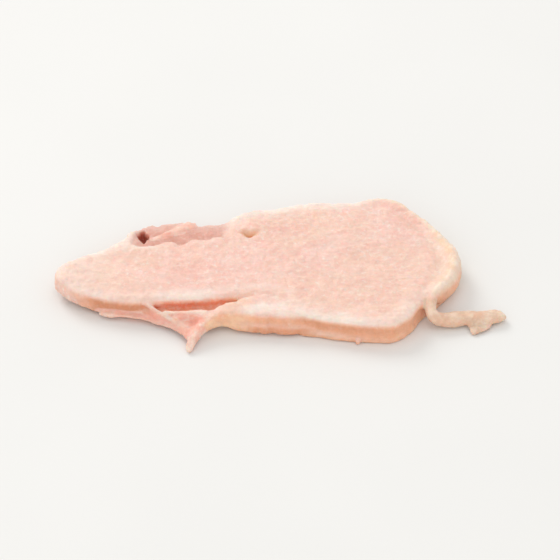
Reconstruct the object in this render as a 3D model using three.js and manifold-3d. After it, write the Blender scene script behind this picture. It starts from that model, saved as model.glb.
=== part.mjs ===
// A slice of raw chicken thigh, cut about 4 mm thick and lying flat.
// Millimetres, +Z up. The slice's long axis is X, its cleft and the strip beside it are on the
// front (-Y) side, and its pale rim runs round the right end. The origin is the bottom centre of
// its box.

import * as THREE from 'three';
import { ParametricGeometry } from 'three/addons/geometries/ParametricGeometry.js';
import * as BufferGeometryUtils from 'three/addons/utils/BufferGeometryUtils.js';
import Module from 'manifold-3d';

const wasm = await Module();
wasm.setup();

// Slab
const THICKNESS = 4.0;
const EDGE_RADIUS = 0.7;
const FRONT_ROUNDING = 0.35; // added to the edge's radius along the front
const FRONT_FROM = -2; // where the front begins, and where it is reached
const FRONT_TO = -8;
const TIP_ROUNDING = 0.4; // added to the edge's radius towards the left tip
const TIP_ROUND_FROM = -20;
const TIP_ROUND_TO = -30;
const EDGE_REACH = 1.35; // the rounding is wider than it is deep
const BOTTOM_RADIUS = 0.5;
const WALL_WAIST = 0.3; // how far the cut wall draws in at half height
const TIP_LIFT = 1.3; // the left tip curls up off the table
const TIP_THINNING = 0.8;
const TIP_FROM = -15; // where the curl begins
const TIP_END = -32;

// Top face
const SWELL = 0.16; // slow waves in the cut face
const SWELL_LENGTH = 6.2;
const LIP_HEIGHT = 0.3; // the rim stands over the cut face
const LIP_WIDTH = 0.9;
const GROOVE_DEPTH = 0.28; // the dip inside the rim
const GROOVE_INSET = 1.5;
const GROOVE_WIDTH = 0.6;
const GROOVE_INSET_ADDED = 0.9; // further in, and wider, round the right end
const GROOVE_WIDTH_ADDED = 0.5;
const RIGHT_END = [24, 30];
const BUMP_HEIGHT = 0.4; // behind the crescent pit
const BUMP_RADIUS = 1.5;
const BUMP_CENTRE = new THREE.Vector2(-1.3, 9.3);

// Torn ledge behind the left half: a step down, then a slope to the back edge
const LEDGE_STEP = 0.8;
const LEDGE_STEP_WIDTH = 1.2;
const LEDGE_SLOPE = 0.45;
const LEDGE_SLOPE_WIDTH = 7;
const LEDGE_LEFT = -19.6;
const LEDGE_RIGHT = -4.5;
const LEDGE_FRONT = 5.3;
const LEDGE_TURN = 0.13; // how far its front line moves back for each millimetre to the right
const LEDGE_MIDDLE = -14.5;

// Pit at the left end of the ledge
const HOLE_CENTRE = new THREE.Vector2(-18.1, 8.5);
const HOLE_LENGTH = 3.4;
const HOLE_WIDTH = 1.7;
const HOLE_CORNERS = 0.16; // how far the plan is drawn out to four corners
const HOLE_SLANT = 0.12;
const HOLE_FLOOR = 1.0;

// Flare: the front wall's foot is drawn forward. Each pair holds where a change begins and ends.
const FLARE_REACH = 1.15;
const FLARE_LEFT = [-6, -2];
const FLARE_MIDDLE = [5, 11];
const FLARE_MIDDLE_LOSS = 0.55;
const FLARE_FAR = [11, 18];
const FLARE_FAR_LOSS = 0.3;
const FLARE_RIGHT = [22, 26];
const FLARE_FRONT = [-12, -9];
const FLARE_HEIGHT = [0.2, 2.7];

// Thin skins
const SKIN_THICKNESS = 0.5;

// Mesh fineness
const OUTLINE_STEPS = 168;
const ARC_SAMPLES = 800;

const plan = (x, y) => new THREE.Vector3(x, y, 0);
const smooth = (from, to, value) => THREE.MathUtils.smoothstep(value, from, to);
const hill = (distance, width) => Math.exp(-((distance / width) ** 2));
const curve = (points, closed = false) => new THREE.CatmullRomCurve3(points, closed, 'centripetal');

// The slab's edge seen from above, anticlockwise from the right end.
const outline = curve([
	plan(31.8, 0.6), plan(31.2, 3.4), plan(30.0, 6.3), plan(27.6, 9.8), plan(25.2, 13.1), plan(22.2, 16.3),
	plan(19.0, 17.0), plan(15.4, 16.4), plan(12.3, 16.2), plan(9.0, 16.5), plan(5.8, 15.7), plan(3.6, 15.3),
	plan(1.4, 14.7), plan(-0.9, 14.4), plan(-2.4, 13.5), plan(-4.2, 12.5), plan(-7.0, 12.1), plan(-9.6, 12.3),
	plan(-12.4, 12.7), plan(-15.2, 12.6), plan(-17.8, 11.8), plan(-19.8, 9.8), plan(-21.8, 6.9),
	plan(-24.6, 4.4), plan(-28.6, 2.0), plan(-31.2, -0.4), plan(-31.7, -3.0), plan(-29.4, -5.6),
	plan(-24.4, -7.9), plan(-20.4, -8.8), plan(-17.0, -8.9), plan(-14.2, -8.7), plan(-11.5, -8.6),
	plan(-8.5, -8.5), plan(-5.5, -8.0), plan(-2.5, -7.6), plan(0.2, -7.4), plan(2.6, -7.4), plan(4.0, -8.4),
	plan(5.0, -10.6), plan(6.6, -11.9), plan(8.9, -12.75), plan(12.1, -13.6), plan(17.4, -14.6),
	plan(21.4, -14.5), plan(24.0, -12.3), plan(25.4, -9.8), plan(26.6, -8.2), plan(28.3, -6.3), plan(30.3, -3.2),
], true);
outline.arcLengthDivisions = ARC_SAMPLES;
const MIDDLE = plan(2, 1); // every part of the edge can be seen from here

// A band's stations: where its middle runs, and its width and height there.
const station = (x, y, z, width, height) => ({ at: new THREE.Vector3(x, y, z), width, height });

// The pale rim thickens towards the right end, then peels off, curls down and trails on the table.
const rimStations = [
	station(17.0, 16.2, 3.3, 0.6, 1.2), station(20.6, 16.2, 3.2, 0.9, 1.7), station(23.6, 14.2, 3.0, 1.1, 2.2),
	station(26.5, 10.7, 2.8, 1.4, 2.8), station(28.9, 6.9, 2.5, 1.9, 3.6), station(30.6, 3.5, 2.35, 2.2, 4.0),
	station(30.9, 0.4, 2.3, 2.3, 4.0), station(30.1, -2.6, 2.3, 2.3, 3.9), station(28.8, -5.0, 2.5, 2.0, 3.4),
	station(27.5, -6.9, 2.85, 1.7, 2.6), station(27.0, -8.3, 2.7, 1.7, 2.1), station(27.1, -9.5, 2.2, 1.9, 2.0),
	station(27.8, -10.2, 1.6, 2.2, 1.9), station(29.5, -10.2, 1.05, 2.6, 1.9),
	station(31.8, -9.6, 0.95, 2.8, 1.8), station(34.7, -9.4, 0.9, 2.7, 1.7), station(37.4, -9.1, 0.85, 2.5, 1.6),
	station(38.9, -9.1, 0.75, 1.8, 1.4),
];
const LIP_STATIONS = 10; // the first stations follow the slab's own edge

// The strip that the cleft frees from the front edge arches down to the table at its left end.
const stripStations = [
	station(12.0, -11.0, 1.9, 1.6, 2.4), station(7.6, -10.5, 2.0, 3.4, 3.4), station(4.2, -10.0, 2.05, 4.7, 3.8),
	station(1.8, -9.3, 2.0, 5.7, 3.85), station(-0.8, -9.4, 2.0, 5.2, 3.85), station(-3.0, -9.85, 2.05, 3.7, 3.7),
	station(-5.1, -10.4, 2.2, 2.7, 3.2), station(-6.7, -11.15, 2.15, 2.0, 2.6),
	station(-8.1, -12.3, 1.9, 1.6, 2.1), station(-9.2, -13.6, 1.5, 1.45, 1.8),
	station(-10.0, -15.1, 0.95, 1.3, 1.4), station(-10.4, -16.3, 0.6, 1.15, 1.0),
	station(-10.5, -17.3, 0.42, 0.9, 0.75),
];

// Low shelf of meat along the foot of the cleft, between the slab and the strip.
const bedStations = [
	station(-20.0, -8.4, 0.9, 1.0, 0.9), station(-17.0, -8.8, 1.0, 1.6, 1.4), station(-14.0, -9.1, 1.1, 2.8, 1.9),
	station(-10.0, -9.3, 1.15, 3.3, 2.1), station(-6.0, -8.9, 1.2, 3.3, 2.2), station(-2.5, -8.0, 1.3, 3.1, 2.3),
	station(0.8, -7.0, 1.4, 3.0, 2.4), station(3.6, -7.2, 1.6, 3.0, 2.4),
];

// Ragged membrane thread along the foot of the left front edge, out to the strip's end.
const threadStations = [
	station(-24.9, -7.9, 0.7, 0.9, 0.6), station(-23.4, -8.5, 0.75, 1.4, 0.75),
	station(-21.6, -8.7, 0.9, 1.1, 0.65), station(-18.7, -9.3, 0.95, 0.85, 0.55),
	station(-16.2, -10.1, 0.9, 0.85, 0.6), station(-13.8, -11.2, 0.95, 0.8, 0.6),
	station(-12.2, -12.5, 0.95, 0.8, 0.65), station(-11.0, -14.0, 0.9, 0.85, 0.7),
	station(-10.4, -15.4, 0.7, 0.8, 0.7),
];
const THREAD_START = 3; // the thin skin hangs on the thread from this station on

// Second thread, from the top of the cleft's mouth down to the strip's end.
const branchStations = [
	station(-17.6, -8.7, 3.3, 0.5, 0.5), station(-16.1, -9.5, 2.9, 0.5, 0.5), station(-14.8, -10.2, 2.5, 0.5, 0.5),
	station(-13.4, -11.0, 2.1, 0.5, 0.5), station(-12.0, -12.0, 1.8, 0.55, 0.5),
	station(-11.0, -13.2, 1.45, 0.6, 0.55), station(-10.3, -14.5, 1.1, 0.6, 0.6),
];
const BRANCH_START = 3; // the skin across the cleft's mouth hangs on it from this station on

// Free edge of the skin across the cleft's mouth, from the second thread to the strip.
const cleftEdge = [
	new THREE.Vector3(-14.6, -10.2, 2.75), new THREE.Vector3(-11.2, -10.5, 2.95),
	new THREE.Vector3(-7.6, -10.7, 3.2), new THREE.Vector3(-6.2, -10.7, 3.2),
];

// Pointed flap that hangs from the trailing strand.
const flapStations = [
	station(34.5, -9.2, 0.8, 5.2, 0.6), station(34.3, -10.6, 0.55, 3.9, 0.5), station(33.9, -11.8, 0.4, 2.1, 0.45),
	station(33.4, -12.9, 0.3, 0.5, 0.4),
];

// Pale shred that lies over the ledge, and a crumb at the foot of the front wall.
const shredStations = [
	station(-16.6, 7.6, 2.9, 0.6, 0.6), station(-15.0, 8.3, 3.0, 1.2, 0.7), station(-13.2, 9.3, 3.0, 1.6, 0.8),
	station(-11.6, 10.5, 2.95, 2.2, 0.8), station(-10.4, 11.6, 2.7, 1.8, 0.7), station(-9.8, 12.6, 2.3, 0.8, 0.5),
];
const crumbStations = [
	station(15.6, -14.1, 0.42, 0.8, 0.7), station(15.6, -14.5, 0.42, 0.9, 0.8), station(15.6, -14.9, 0.4, 0.8, 0.7),
];

// Crescent pit in the cut face, as the band that is cut out of it.
const pitStations = [
	station(-3.2, 8.7, 4.3, 0.5, 0.8), station(-2.3, 8.1, 4.2, 0.8, 1.4), station(-1.4, 7.6, 4.1, 1.0, 2.6),
	station(-0.6, 7.8, 4.2, 0.8, 1.6), station(0.3, 8.3, 4.3, 0.5, 0.8),
];

const middles = (stations) => curve(stations.map((s) => s.at));

const lipSamples = middles(rimStations.slice(0, LIP_STATIONS)).getSpacedPoints(64);
const distanceToLip = (x, y) => Math.min(...lipSamples.map((p) => Math.hypot(p.x - x, p.y - y)));

// How far the torn ledge lies below the cut face.
function ledgeDrop(x, y) {
	const along = smooth(LEDGE_LEFT - 1, LEDGE_LEFT + 1, x) * (1 - smooth(LEDGE_RIGHT - 1, LEDGE_RIGHT + 1, x));
	const behind = y - LEDGE_FRONT - LEDGE_TURN * (x - LEDGE_MIDDLE);
	const step = LEDGE_STEP * smooth(0, LEDGE_STEP_WIDTH, behind);
	return along * (step + LEDGE_SLOPE * smooth(1, LEDGE_SLOPE_WIDTH, behind));
}

// Height of the cut face over the table, as a function of the place in plan.
function topHeight(x, y) {
	const waves = Math.sin(x / SWELL_LENGTH + 0.6) * Math.cos(y / SWELL_LENGTH - 0.4)
		+ 0.5 * Math.sin((x + 2 * y) / SWELL_LENGTH);
	const toLip = distanceToLip(x, y);
	const right = smooth(...RIGHT_END, x);
	const toGroove = toLip - GROOVE_INSET - GROOVE_INSET_ADDED * right;
	const groove = GROOVE_DEPTH * hill(toGroove, GROOVE_WIDTH + GROOVE_WIDTH_ADDED * right);
	const lip = LIP_HEIGHT * hill(toLip, LIP_WIDTH) - groove;
	const bump = BUMP_HEIGHT * hill(Math.hypot(x - BUMP_CENTRE.x, y - BUMP_CENTRE.y), BUMP_RADIUS);
	const thinning = TIP_THINNING * (1 - smooth(TIP_END, TIP_FROM, x));
	return baseHeight(x) + THICKNESS + SWELL * waves + lip + bump - ledgeDrop(x, y) - thinning;
}

// Height of the underside, which is level but for the curl at the left tip.
function baseHeight(x) {
	const beyond = Math.max(0, (TIP_FROM - x) / (TIP_FROM - TIP_END));
	return TIP_LIFT * beyond ** 2;
}

// Draws a point of the front wall forward, by most at its foot and near the strip's arch.
function flare(point) {
	const rise = smooth(...FLARE_LEFT, point.x) * (1 - smooth(...FLARE_RIGHT, point.x));
	const loss = FLARE_MIDDLE_LOSS * smooth(...FLARE_MIDDLE, point.x) + FLARE_FAR_LOSS * smooth(...FLARE_FAR, point.x);
	const forward = 1 - smooth(...FLARE_FRONT, point.y);
	const low = 1 - smooth(...FLARE_HEIGHT, point.z);
	point.y -= FLARE_REACH * rise * (1 - loss) * forward * low;
}

// The slab's skin is a set of rings. Over the top face they grow from the middle to the edge
// (share of the way out), then turn down round the edge (turned, from level, 0, to upright, 1),
// go down the wall (level, from the foot of the rounding, 1, to the underside, 0), drawn in at
// its waist and at its foot, and shrink again underneath.
const slabRings = [
	...[0.12, 0.26, 0.4, 0.5, 0.58, 0.66, 0.74, 0.82, 0.91, 1].map((share) => ({ share, turned: 0 })),
	...[1 / 3, 2 / 3, 1].map((turned) => ({ turned })),
	{ level: 0.55, waist: WALL_WAIST },
	{ level: BOTTOM_RADIUS / THICKNESS, foot: 0.05 },
	...[1, 0.66, 0.3].map((share) => ({ share, level: 0, foot: BOTTOM_RADIUS })),
];

function slabPoint(turn, { share = 1, turned = 1, level = 1, waist = 0, foot = 0 }, target) {
	const edge = outline.getPointAt(turn % 1);
	const along = outline.getTangentAt(turn % 1);
	const tip = 1 - smooth(TIP_ROUND_TO, TIP_ROUND_FROM, edge.x);
	const front = 1 - smooth(FRONT_TO, FRONT_FROM, edge.y);
	const radius = EDGE_RADIUS + FRONT_ROUNDING * front + TIP_ROUNDING * tip;
	const angle = turned * Math.PI / 2;
	const inset = EDGE_REACH * radius * (1 - Math.sin(angle)) + waist * (1 - tip) + foot;
	edge.x -= along.y * inset;
	edge.y += along.x * inset;
	target.copy(MIDDLE).lerp(edge, share);
	const base = baseHeight(target.x);
	const upper = topHeight(target.x, target.y) - radius * (1 - Math.cos(angle));
	target.z = THREE.MathUtils.lerp(base, upper, level);
	flare(target);
}

// A closed skin from a function of two parameters: v runs from one pole to the other, u around.
function closedSkin(pointAt, sides, steps) {
	const geometry = new ParametricGeometry(pointAt, sides, steps);
	geometry.deleteAttribute('normal');
	geometry.deleteAttribute('uv');
	return BufferGeometryUtils.mergeVertices(geometry, 1e-5);
}

function slabSkin() {
	const last = slabRings.length + 1;
	const pointAt = (u, v, target) => {
		const row = Math.round(v * last);
		if (row === 0) {
			target.copy(MIDDLE).setZ(topHeight(MIDDLE.x, MIDDLE.y));
		} else if (row === last) {
			target.copy(MIDDLE).setZ(baseHeight(MIDDLE.x));
		} else {
			slabPoint(1 - u, slabRings[row - 1], target);
		}
	};
	return closedSkin(pointAt, OUTLINE_STEPS, last);
}

// A band: a section, level across and upright, carried along its stations. The section is an
// oval where boxiness is 1, and nearer a rounded box below that. It shrinks to a point at both
// ends, over endLength of the way.
function bandSkin(stations, { sides = 12, stepsPerSpan = 3, endLength = 0.08, boxiness = 1 } = {}) {
	const path = middles(stations);
	const sizes = curve(stations.map((s, index) => new THREE.Vector3(s.width, s.height, index)));
	const bulge = (value) => Math.sign(value) * Math.abs(value) ** boxiness;
	const pointAt = (u, v, target) => {
		const middle = path.getPoint(v);
		const ahead = path.getTangent(v).setZ(0).normalize();
		const size = sizes.getPoint(v);
		const toEnd = Math.min(v, 1 - v, endLength) / endLength;
		const shrink = Math.sqrt(Math.max(0, 1 - (1 - toEnd) ** 2));
		const angle = (u % 1) * Math.PI * 2;
		const across = bulge(Math.cos(angle)) * shrink * size.x / 2;
		const up = bulge(Math.sin(angle)) * shrink * size.y / 2;
		target.set(middle.x - ahead.y * across, middle.y + ahead.x * across, middle.z + up);
		flare(target);
	};
	return closedSkin(pointAt, sides, stepsPerSpan * (stations.length - 1));
}

// A thin skin stretched straight across from one path to the other: u goes over its upper face
// and back under its lower one, and both ends close to a point.
function sheetSkin(first, second, steps) {
	const pointAt = (u, v, target) => {
		const across = 1 - Math.abs(1 - 2 * (u % 1));
		const upper = u % 1 < 0.5 ? 1 : -1;
		const open = v > 0 && v < 1;
		target.copy(first.getPoint(v)).lerp(second.getPoint(v), open ? across : 0.5);
		if (open && across > 0 && across < 1) target.z += upper * SKIN_THICKNESS / 2;
	};
	return closedSkin(pointAt, 8, steps);
}

// An upright plug with an oval plan drawn out to four corners. It flares upwards, and it stops
// above the table, so the hole that it cuts keeps a floor.
function holePlug() {
	const rings = [
		{ level: HOLE_FLOOR, reach: 0 }, { level: HOLE_FLOOR, reach: 0.8 }, { level: 1.5, reach: 0.8 },
		{ level: 3, reach: 1 }, { level: 4.5, reach: 1.25 }, { level: 2 * THICKNESS, reach: 1.25 },
		{ level: 2 * THICKNESS, reach: 0 },
	];
	const pointAt = (u, v, target) => {
		const ring = rings[Math.round(v * (rings.length - 1))];
		const angle = (u % 1) * Math.PI * 2;
		const reach = ring.reach * (1 + HOLE_CORNERS * Math.cos(4 * angle + 0.3));
		const across = Math.cos(angle) * reach * HOLE_WIDTH / 2;
		const along = Math.sin(angle) * reach * HOLE_LENGTH / 2;
		target.set(HOLE_CENTRE.x + across - HOLE_SLANT * along, HOLE_CENTRE.y + along, ring.level);
	};
	return closedSkin(pointAt, 20, rings.length - 1);
}

function toSolid(geometry) {
	const corners = geometry.index.array;
	const kept = [];
	for (let i = 0; i < corners.length; i += 3) {
		const [a, b, c] = [corners[i], corners[i + 1], corners[i + 2]];
		if (a !== b && b !== c && c !== a) kept.push(a, b, c);
	}
	return new wasm.Manifold(new wasm.Mesh({
		numProp: 3,
		vertProperties: new Float32Array(geometry.attributes.position.array),
		triVerts: new Uint32Array(kept),
	}));
}

function toGeometry(solid) {
	const mesh = solid.getMesh();
	const geometry = new THREE.BufferGeometry();
	geometry.setAttribute('position', new THREE.BufferAttribute(mesh.vertProperties, 3));
	geometry.setIndex(new THREE.BufferAttribute(mesh.triVerts, 1));
	return geometry;
}

function sliceGeometry() {
	let solid = toSolid(slabSkin());
	const branch = middles(branchStations.slice(BRANCH_START));
	const added = [
		bandSkin(rimStations),
		bandSkin(stripStations, { endLength: 0.06, boxiness: 0.6 }),
		bandSkin(bedStations, { sides: 8, stepsPerSpan: 2, endLength: 0.1 }),
		bandSkin(threadStations, { sides: 8 }),
		bandSkin(branchStations, { sides: 8, stepsPerSpan: 2 }),
		sheetSkin(middles(branchStations), middles(threadStations.slice(THREAD_START)), 18),
		sheetSkin(curve(cleftEdge), branch, 12),
		bandSkin(flapStations, { sides: 10, endLength: 0.2 }),
		bandSkin(shredStations, { sides: 8, stepsPerSpan: 2, endLength: 0.2 }),
		bandSkin(crumbStations, { sides: 8, endLength: 0.4 }),
	];
	const removed = [holePlug(), bandSkin(pitStations, { sides: 10, endLength: 0.1 })];
	for (const skin of added) solid = solid.add(toSolid(skin));
	for (const skin of removed) solid = solid.subtract(toSolid(skin));
	const geometry = toGeometry(solid);
	geometry.computeBoundingBox();
	const middle = geometry.boundingBox.getCenter(new THREE.Vector3());
	geometry.translate(-middle.x, -middle.y, -geometry.boundingBox.min.z);
	return geometry;
}

const meat = new THREE.MeshStandardMaterial({ color: 0xf4cdbb, roughness: 0.72, metalness: 0 });

const slice = new THREE.Mesh(sliceGeometry(), meat);
slice.name = 'thigh_slice';

const group = new THREE.Group();
group.add(slice);

export default group;
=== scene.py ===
"""A slice of raw, lightly frosted chicken thigh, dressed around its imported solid.

The meat is a slab worked out from its outline, with the pale rim, the free strip, the thread and
the other shreds carried along paths and fused to it. Relief, fibres and frost are added to the
fused skin. Lengths are millimetres until a mesh is made, in the same layout as the solid.
"""

import math

import bpy
import numpy as np
from bpy.props import FloatProperty, FloatVectorProperty, PointerProperty
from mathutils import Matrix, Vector


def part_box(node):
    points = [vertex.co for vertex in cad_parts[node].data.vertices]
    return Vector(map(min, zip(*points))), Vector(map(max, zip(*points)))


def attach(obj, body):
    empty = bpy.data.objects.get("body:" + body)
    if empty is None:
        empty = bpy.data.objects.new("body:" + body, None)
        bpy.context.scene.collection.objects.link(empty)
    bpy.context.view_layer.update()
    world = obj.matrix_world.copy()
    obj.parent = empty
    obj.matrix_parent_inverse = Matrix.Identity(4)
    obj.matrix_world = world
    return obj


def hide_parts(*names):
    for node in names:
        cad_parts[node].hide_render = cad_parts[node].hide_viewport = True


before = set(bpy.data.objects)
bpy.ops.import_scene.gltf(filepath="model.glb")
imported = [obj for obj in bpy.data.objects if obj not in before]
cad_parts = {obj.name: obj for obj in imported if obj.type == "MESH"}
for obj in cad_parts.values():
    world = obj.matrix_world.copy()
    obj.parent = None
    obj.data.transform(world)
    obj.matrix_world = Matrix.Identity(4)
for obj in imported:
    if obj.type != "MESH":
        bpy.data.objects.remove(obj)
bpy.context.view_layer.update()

bl_info = {
    "name": "Sliced chicken thigh",
    "version": (1, 0, 0),
    "blender": (4, 5, 0),
    "location": "View3D > Sidebar > Thigh Slice",
    "description": "Meat and stage for a slice of raw, frosted chicken thigh",
    "category": "Add Mesh",
}

NODE = "thigh_slice"
BODY = "root"
MM = 0.001
NODE_LOW, NODE_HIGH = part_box(NODE)

# The solid's own layout, in millimetres: the left tip and the back corner fix it to the box.
TIP_X = -31.7720
BACK_Y = 16.9904
SHIFT = np.array([NODE_LOW.x / MM - TIP_X, NODE_HIGH.y / MM - BACK_Y, NODE_LOW.z / MM])

# Slab
THICKNESS = 4.0
EDGE_RADIUS = 0.7
TIP_ROUNDING = 0.4  # added to the edge's radius towards the left tip
FRONT_ROUNDING = 0.35  # added along the front
EDGE_REACH = 1.35  # the rounding is wider than it is deep
BOTTOM_RADIUS = 0.5
WALL_WAIST = 0.3  # how far the cut wall draws in at half height
TIP_LIFT = 1.3  # the left tip curls up off the table
TIP_THINNING = 0.8
TIP_FROM = -15.0
TIP_END = -32.0
FLARE = 1.15  # how far the front wall's foot stands forward
MIDDLE = np.array([2.0, 1.0])  # where the rings of both flat faces close

# Cut face
SWELL = 0.16
SWELL_LENGTH = 6.2
LIP_HEIGHT = 0.3
LIP_WIDTH = 0.9
GROOVE_DEPTH = 0.28
GROOVE_INSET = 1.5
GROOVE_WIDTH = 0.6
GROOVE_INSET_ADDED = 0.9  # further in, and wider, round the right end
GROOVE_WIDTH_ADDED = 0.5
RIGHT_END = (24, 30)
LEDGE_STEP = 0.8
LEDGE_SLOPE = 0.45
LEDGE_FRONT = 4.9
LEDGE_TURN = 0.13  # how far its front line moves back for each millimetre to the right
PIT_DEPTH = 1.3
PIT_ENDS = 0.2  # its depth away from the middle
PIT_MIDDLE = -1.3
PIT_WIDTH = 0.42
BUMP_HEIGHT = 0.4
BUMP_RADIUS = 1.5
BUMP_CENTRE = (-1.3, 9.3)
HOLE_FLOOR = 1.0
HOLE_TOP = 8.0
HOLE_HALF_WIDTH = 0.85
HOLE_HALF_LENGTH = 1.7

# Thin skins
SKIN_THICKNESS = 0.5
SKIN_CRUMPLE = 0.35
TUCK = 0.8  # how far their start lies back in the slab
TUCK_SHARE = 0.25  # of their length

# Relief of the fused skin
BROAD = 0.06
STREAKS = 0.04
FINE = 0.05
LUMPS = 0.075
KNOBS = 0.35
PORE_DEPTH = 0.3
FIBRE_BAND = 3.1  # distance between bands of deeper colour

# The slab's edge seen from above, anticlockwise from the seam with the strip. The last two
# points lie under the strip.
OUTLINE = [
    (6.6, -11.9), (8.9, -12.75), (12.1, -13.6), (17.4, -14.6), (21.4, -14.5), (24.0, -12.3),
    (25.4, -9.8), (26.6, -8.2), (28.3, -6.3), (30.3, -3.2), (31.8, 0.6), (31.2, 3.4), (30.0, 6.3),
    (27.6, 9.8), (25.2, 13.1), (22.2, 16.3), (19.0, 17.0), (15.4, 16.4), (12.3, 16.2), (9.0, 16.5),
    (5.8, 15.7), (3.6, 15.3), (1.4, 14.7), (-0.9, 14.4), (-2.4, 13.5), (-4.2, 12.5), (-7.0, 12.1),
    (-9.6, 12.3), (-12.4, 12.7), (-15.2, 12.6), (-17.8, 11.8), (-19.8, 9.8), (-21.8, 6.9),
    (-24.6, 4.4), (-28.6, 2.0), (-31.2, -0.4), (-31.7, -3.0), (-29.4, -5.6), (-24.4, -7.9),
    (-20.4, -8.8), (-17.0, -8.9), (-14.2, -8.7), (-11.5, -8.6), (-8.5, -8.5), (-5.5, -8.0),
    (-2.5, -7.6), (0.2, -7.4), (2.6, -7.4), (4.0, -8.4), (5.0, -10.6),
]

# Bands: where the middle runs (x, y, z), and the width and height there.
RIM = [
    (17.0, 16.2, 3.3, 0.6, 1.2), (20.6, 16.2, 3.2, 0.9, 1.7), (23.6, 14.2, 3.0, 1.1, 2.2),
    (26.5, 10.7, 2.8, 1.4, 2.8), (28.9, 6.9, 2.5, 1.9, 3.6), (30.6, 3.5, 2.35, 2.2, 4.0),
    (30.9, 0.4, 2.3, 2.3, 4.0), (30.1, -2.6, 2.3, 2.3, 3.9), (28.8, -5.0, 2.5, 2.0, 3.4),
    (27.5, -6.9, 2.85, 1.7, 2.6), (27.0, -8.3, 2.7, 1.7, 2.1), (27.1, -9.5, 2.2, 1.9, 2.0),
    (27.8, -10.2, 1.6, 2.2, 1.9), (29.5, -10.2, 1.05, 2.6, 1.9), (31.8, -9.6, 0.95, 2.8, 1.8),
    (34.7, -9.4, 0.9, 2.7, 1.7), (37.4, -9.1, 0.85, 2.5, 1.6), (38.9, -9.1, 0.75, 1.8, 1.4),
]
STRIP = [
    (12.0, -11.0, 1.9, 1.6, 2.4), (7.6, -10.5, 2.0, 3.4, 3.4), (4.2, -10.0, 2.05, 4.7, 3.8),
    (1.8, -9.3, 2.0, 5.7, 3.85), (-0.8, -9.4, 2.0, 5.2, 3.85), (-3.0, -9.85, 2.05, 3.7, 3.7),
    (-5.1, -10.4, 2.2, 2.7, 3.2), (-6.7, -11.15, 2.15, 2.0, 2.6), (-8.1, -12.3, 1.9, 1.6, 2.1),
    (-9.2, -13.6, 1.5, 1.45, 1.8), (-10.0, -15.1, 0.95, 1.3, 1.4), (-10.4, -16.3, 0.6, 1.15, 1.0),
    (-10.5, -17.3, 0.42, 0.9, 0.75),
]
BED = [
    (-20.0, -8.4, 0.9, 1.0, 0.9), (-17.0, -8.8, 1.0, 1.6, 1.4), (-14.0, -9.1, 1.1, 2.8, 1.9),
    (-10.0, -9.3, 1.15, 3.3, 2.1), (-6.0, -8.9, 1.2, 3.3, 2.2), (-2.5, -8.0, 1.3, 3.1, 2.3),
    (0.8, -7.0, 1.4, 3.0, 2.4), (3.6, -7.2, 1.6, 3.0, 2.4),
]
THREAD = [
    (-24.9, -7.9, 0.7, 0.9, 0.6), (-23.4, -8.5, 0.75, 1.4, 0.75), (-21.6, -8.7, 0.9, 1.1, 0.65),
    (-18.7, -9.3, 0.95, 0.85, 0.55), (-16.2, -10.1, 0.9, 0.85, 0.6), (-13.8, -11.2, 0.95, 0.8, 0.6),
    (-12.2, -12.5, 0.95, 0.8, 0.65), (-11.0, -14.0, 0.9, 0.85, 0.7), (-10.4, -15.4, 0.7, 0.8, 0.7),
]
BRANCH = [
    (-17.6, -8.7, 3.3, 0.4, 0.4), (-16.1, -9.5, 2.9, 0.45, 0.4), (-14.8, -10.2, 2.5, 0.5, 0.45),
    (-13.4, -11.0, 2.1, 0.5, 0.45), (-12.0, -12.0, 1.8, 0.55, 0.5), (-11.0, -13.2, 1.45, 0.6, 0.55),
    (-10.3, -14.5, 1.1, 0.6, 0.6),
]
CLEFT_LIP = [
    (-14.6, -10.2, 2.75, 0.3, 0.3), (-13.0, -10.45, 2.85, 0.4, 0.35), (-11.2, -10.5, 2.95, 0.45, 0.35),
    (-9.4, -10.5, 3.1, 0.45, 0.35), (-7.6, -10.7, 3.2, 0.4, 0.4), (-6.2, -10.7, 3.2, 0.4, 0.4),
]
SHRED = [
    (-16.6, 7.6, 2.9, 0.6, 0.6), (-15.0, 8.3, 3.0, 1.2, 0.7), (-13.2, 9.3, 3.0, 1.6, 0.8),
    (-11.6, 10.5, 2.95, 2.2, 0.8), (-10.4, 11.6, 2.7, 1.8, 0.7), (-9.8, 12.6, 2.3, 0.8, 0.5),
]
CRUMB = [(15.6, -14.1, 0.42, 0.8, 0.7), (15.6, -14.5, 0.42, 0.9, 0.8), (15.6, -14.9, 0.4, 0.8, 0.7)]
FLAP = [
    (34.5, -9.2, 0.8, 5.2, 0.6), (34.3, -10.6, 0.55, 3.9, 0.5), (33.9, -11.8, 0.4, 2.1, 0.45),
    (33.4, -12.9, 0.3, 0.5, 0.4),
]
LIP = [station[:2] for station in RIM[:10]]

# The thin skins' finish: where its middle runs (x, y, z), and the width and height it covers.
WEB = [
    (-17.8, -9.0, 1.9, 2.0, 1.2), (-15.5, -10.1, 1.7, 1.6, 1.0), (-13.2, -11.4, 1.4, 1.0, 1.0),
    (-11.2, -13.4, 1.1, 0.8, 0.8),
]
CLEFT_WEB = [
    (-13.4, -10.8, 2.4, 0.6, 0.6), (-12.0, -11.0, 2.4, 1.6, 1.0), (-10.4, -11.7, 2.3, 2.4, 1.4),
    (-9.2, -12.0, 2.2, 2.6, 1.4), (-8.2, -12.4, 2.1, 1.6, 1.0),
]
CLEFT = [
    (-16.6, -9.3), (-12.0, -9.5), (-8.5, -9.2), (-5.5, -8.6), (-2.5, -8.0), (0.4, -7.6), (2.6, -7.4),
]
PIT = [(-3.2, 8.7), (-2.3, 8.1), (-1.4, 7.6), (-0.6, 7.8), (0.3, 8.3)]
HOLE = (-18.1, 8.5)
PORES = (7.0, -2.8)
STRAND_ROOT = (27.3, -8.8)
SWIRL = (19.4, 1.5)
SWIRL_STRETCH = 2.1

TABLE = 4096  # random values in a table of noise, a power of two


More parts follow.
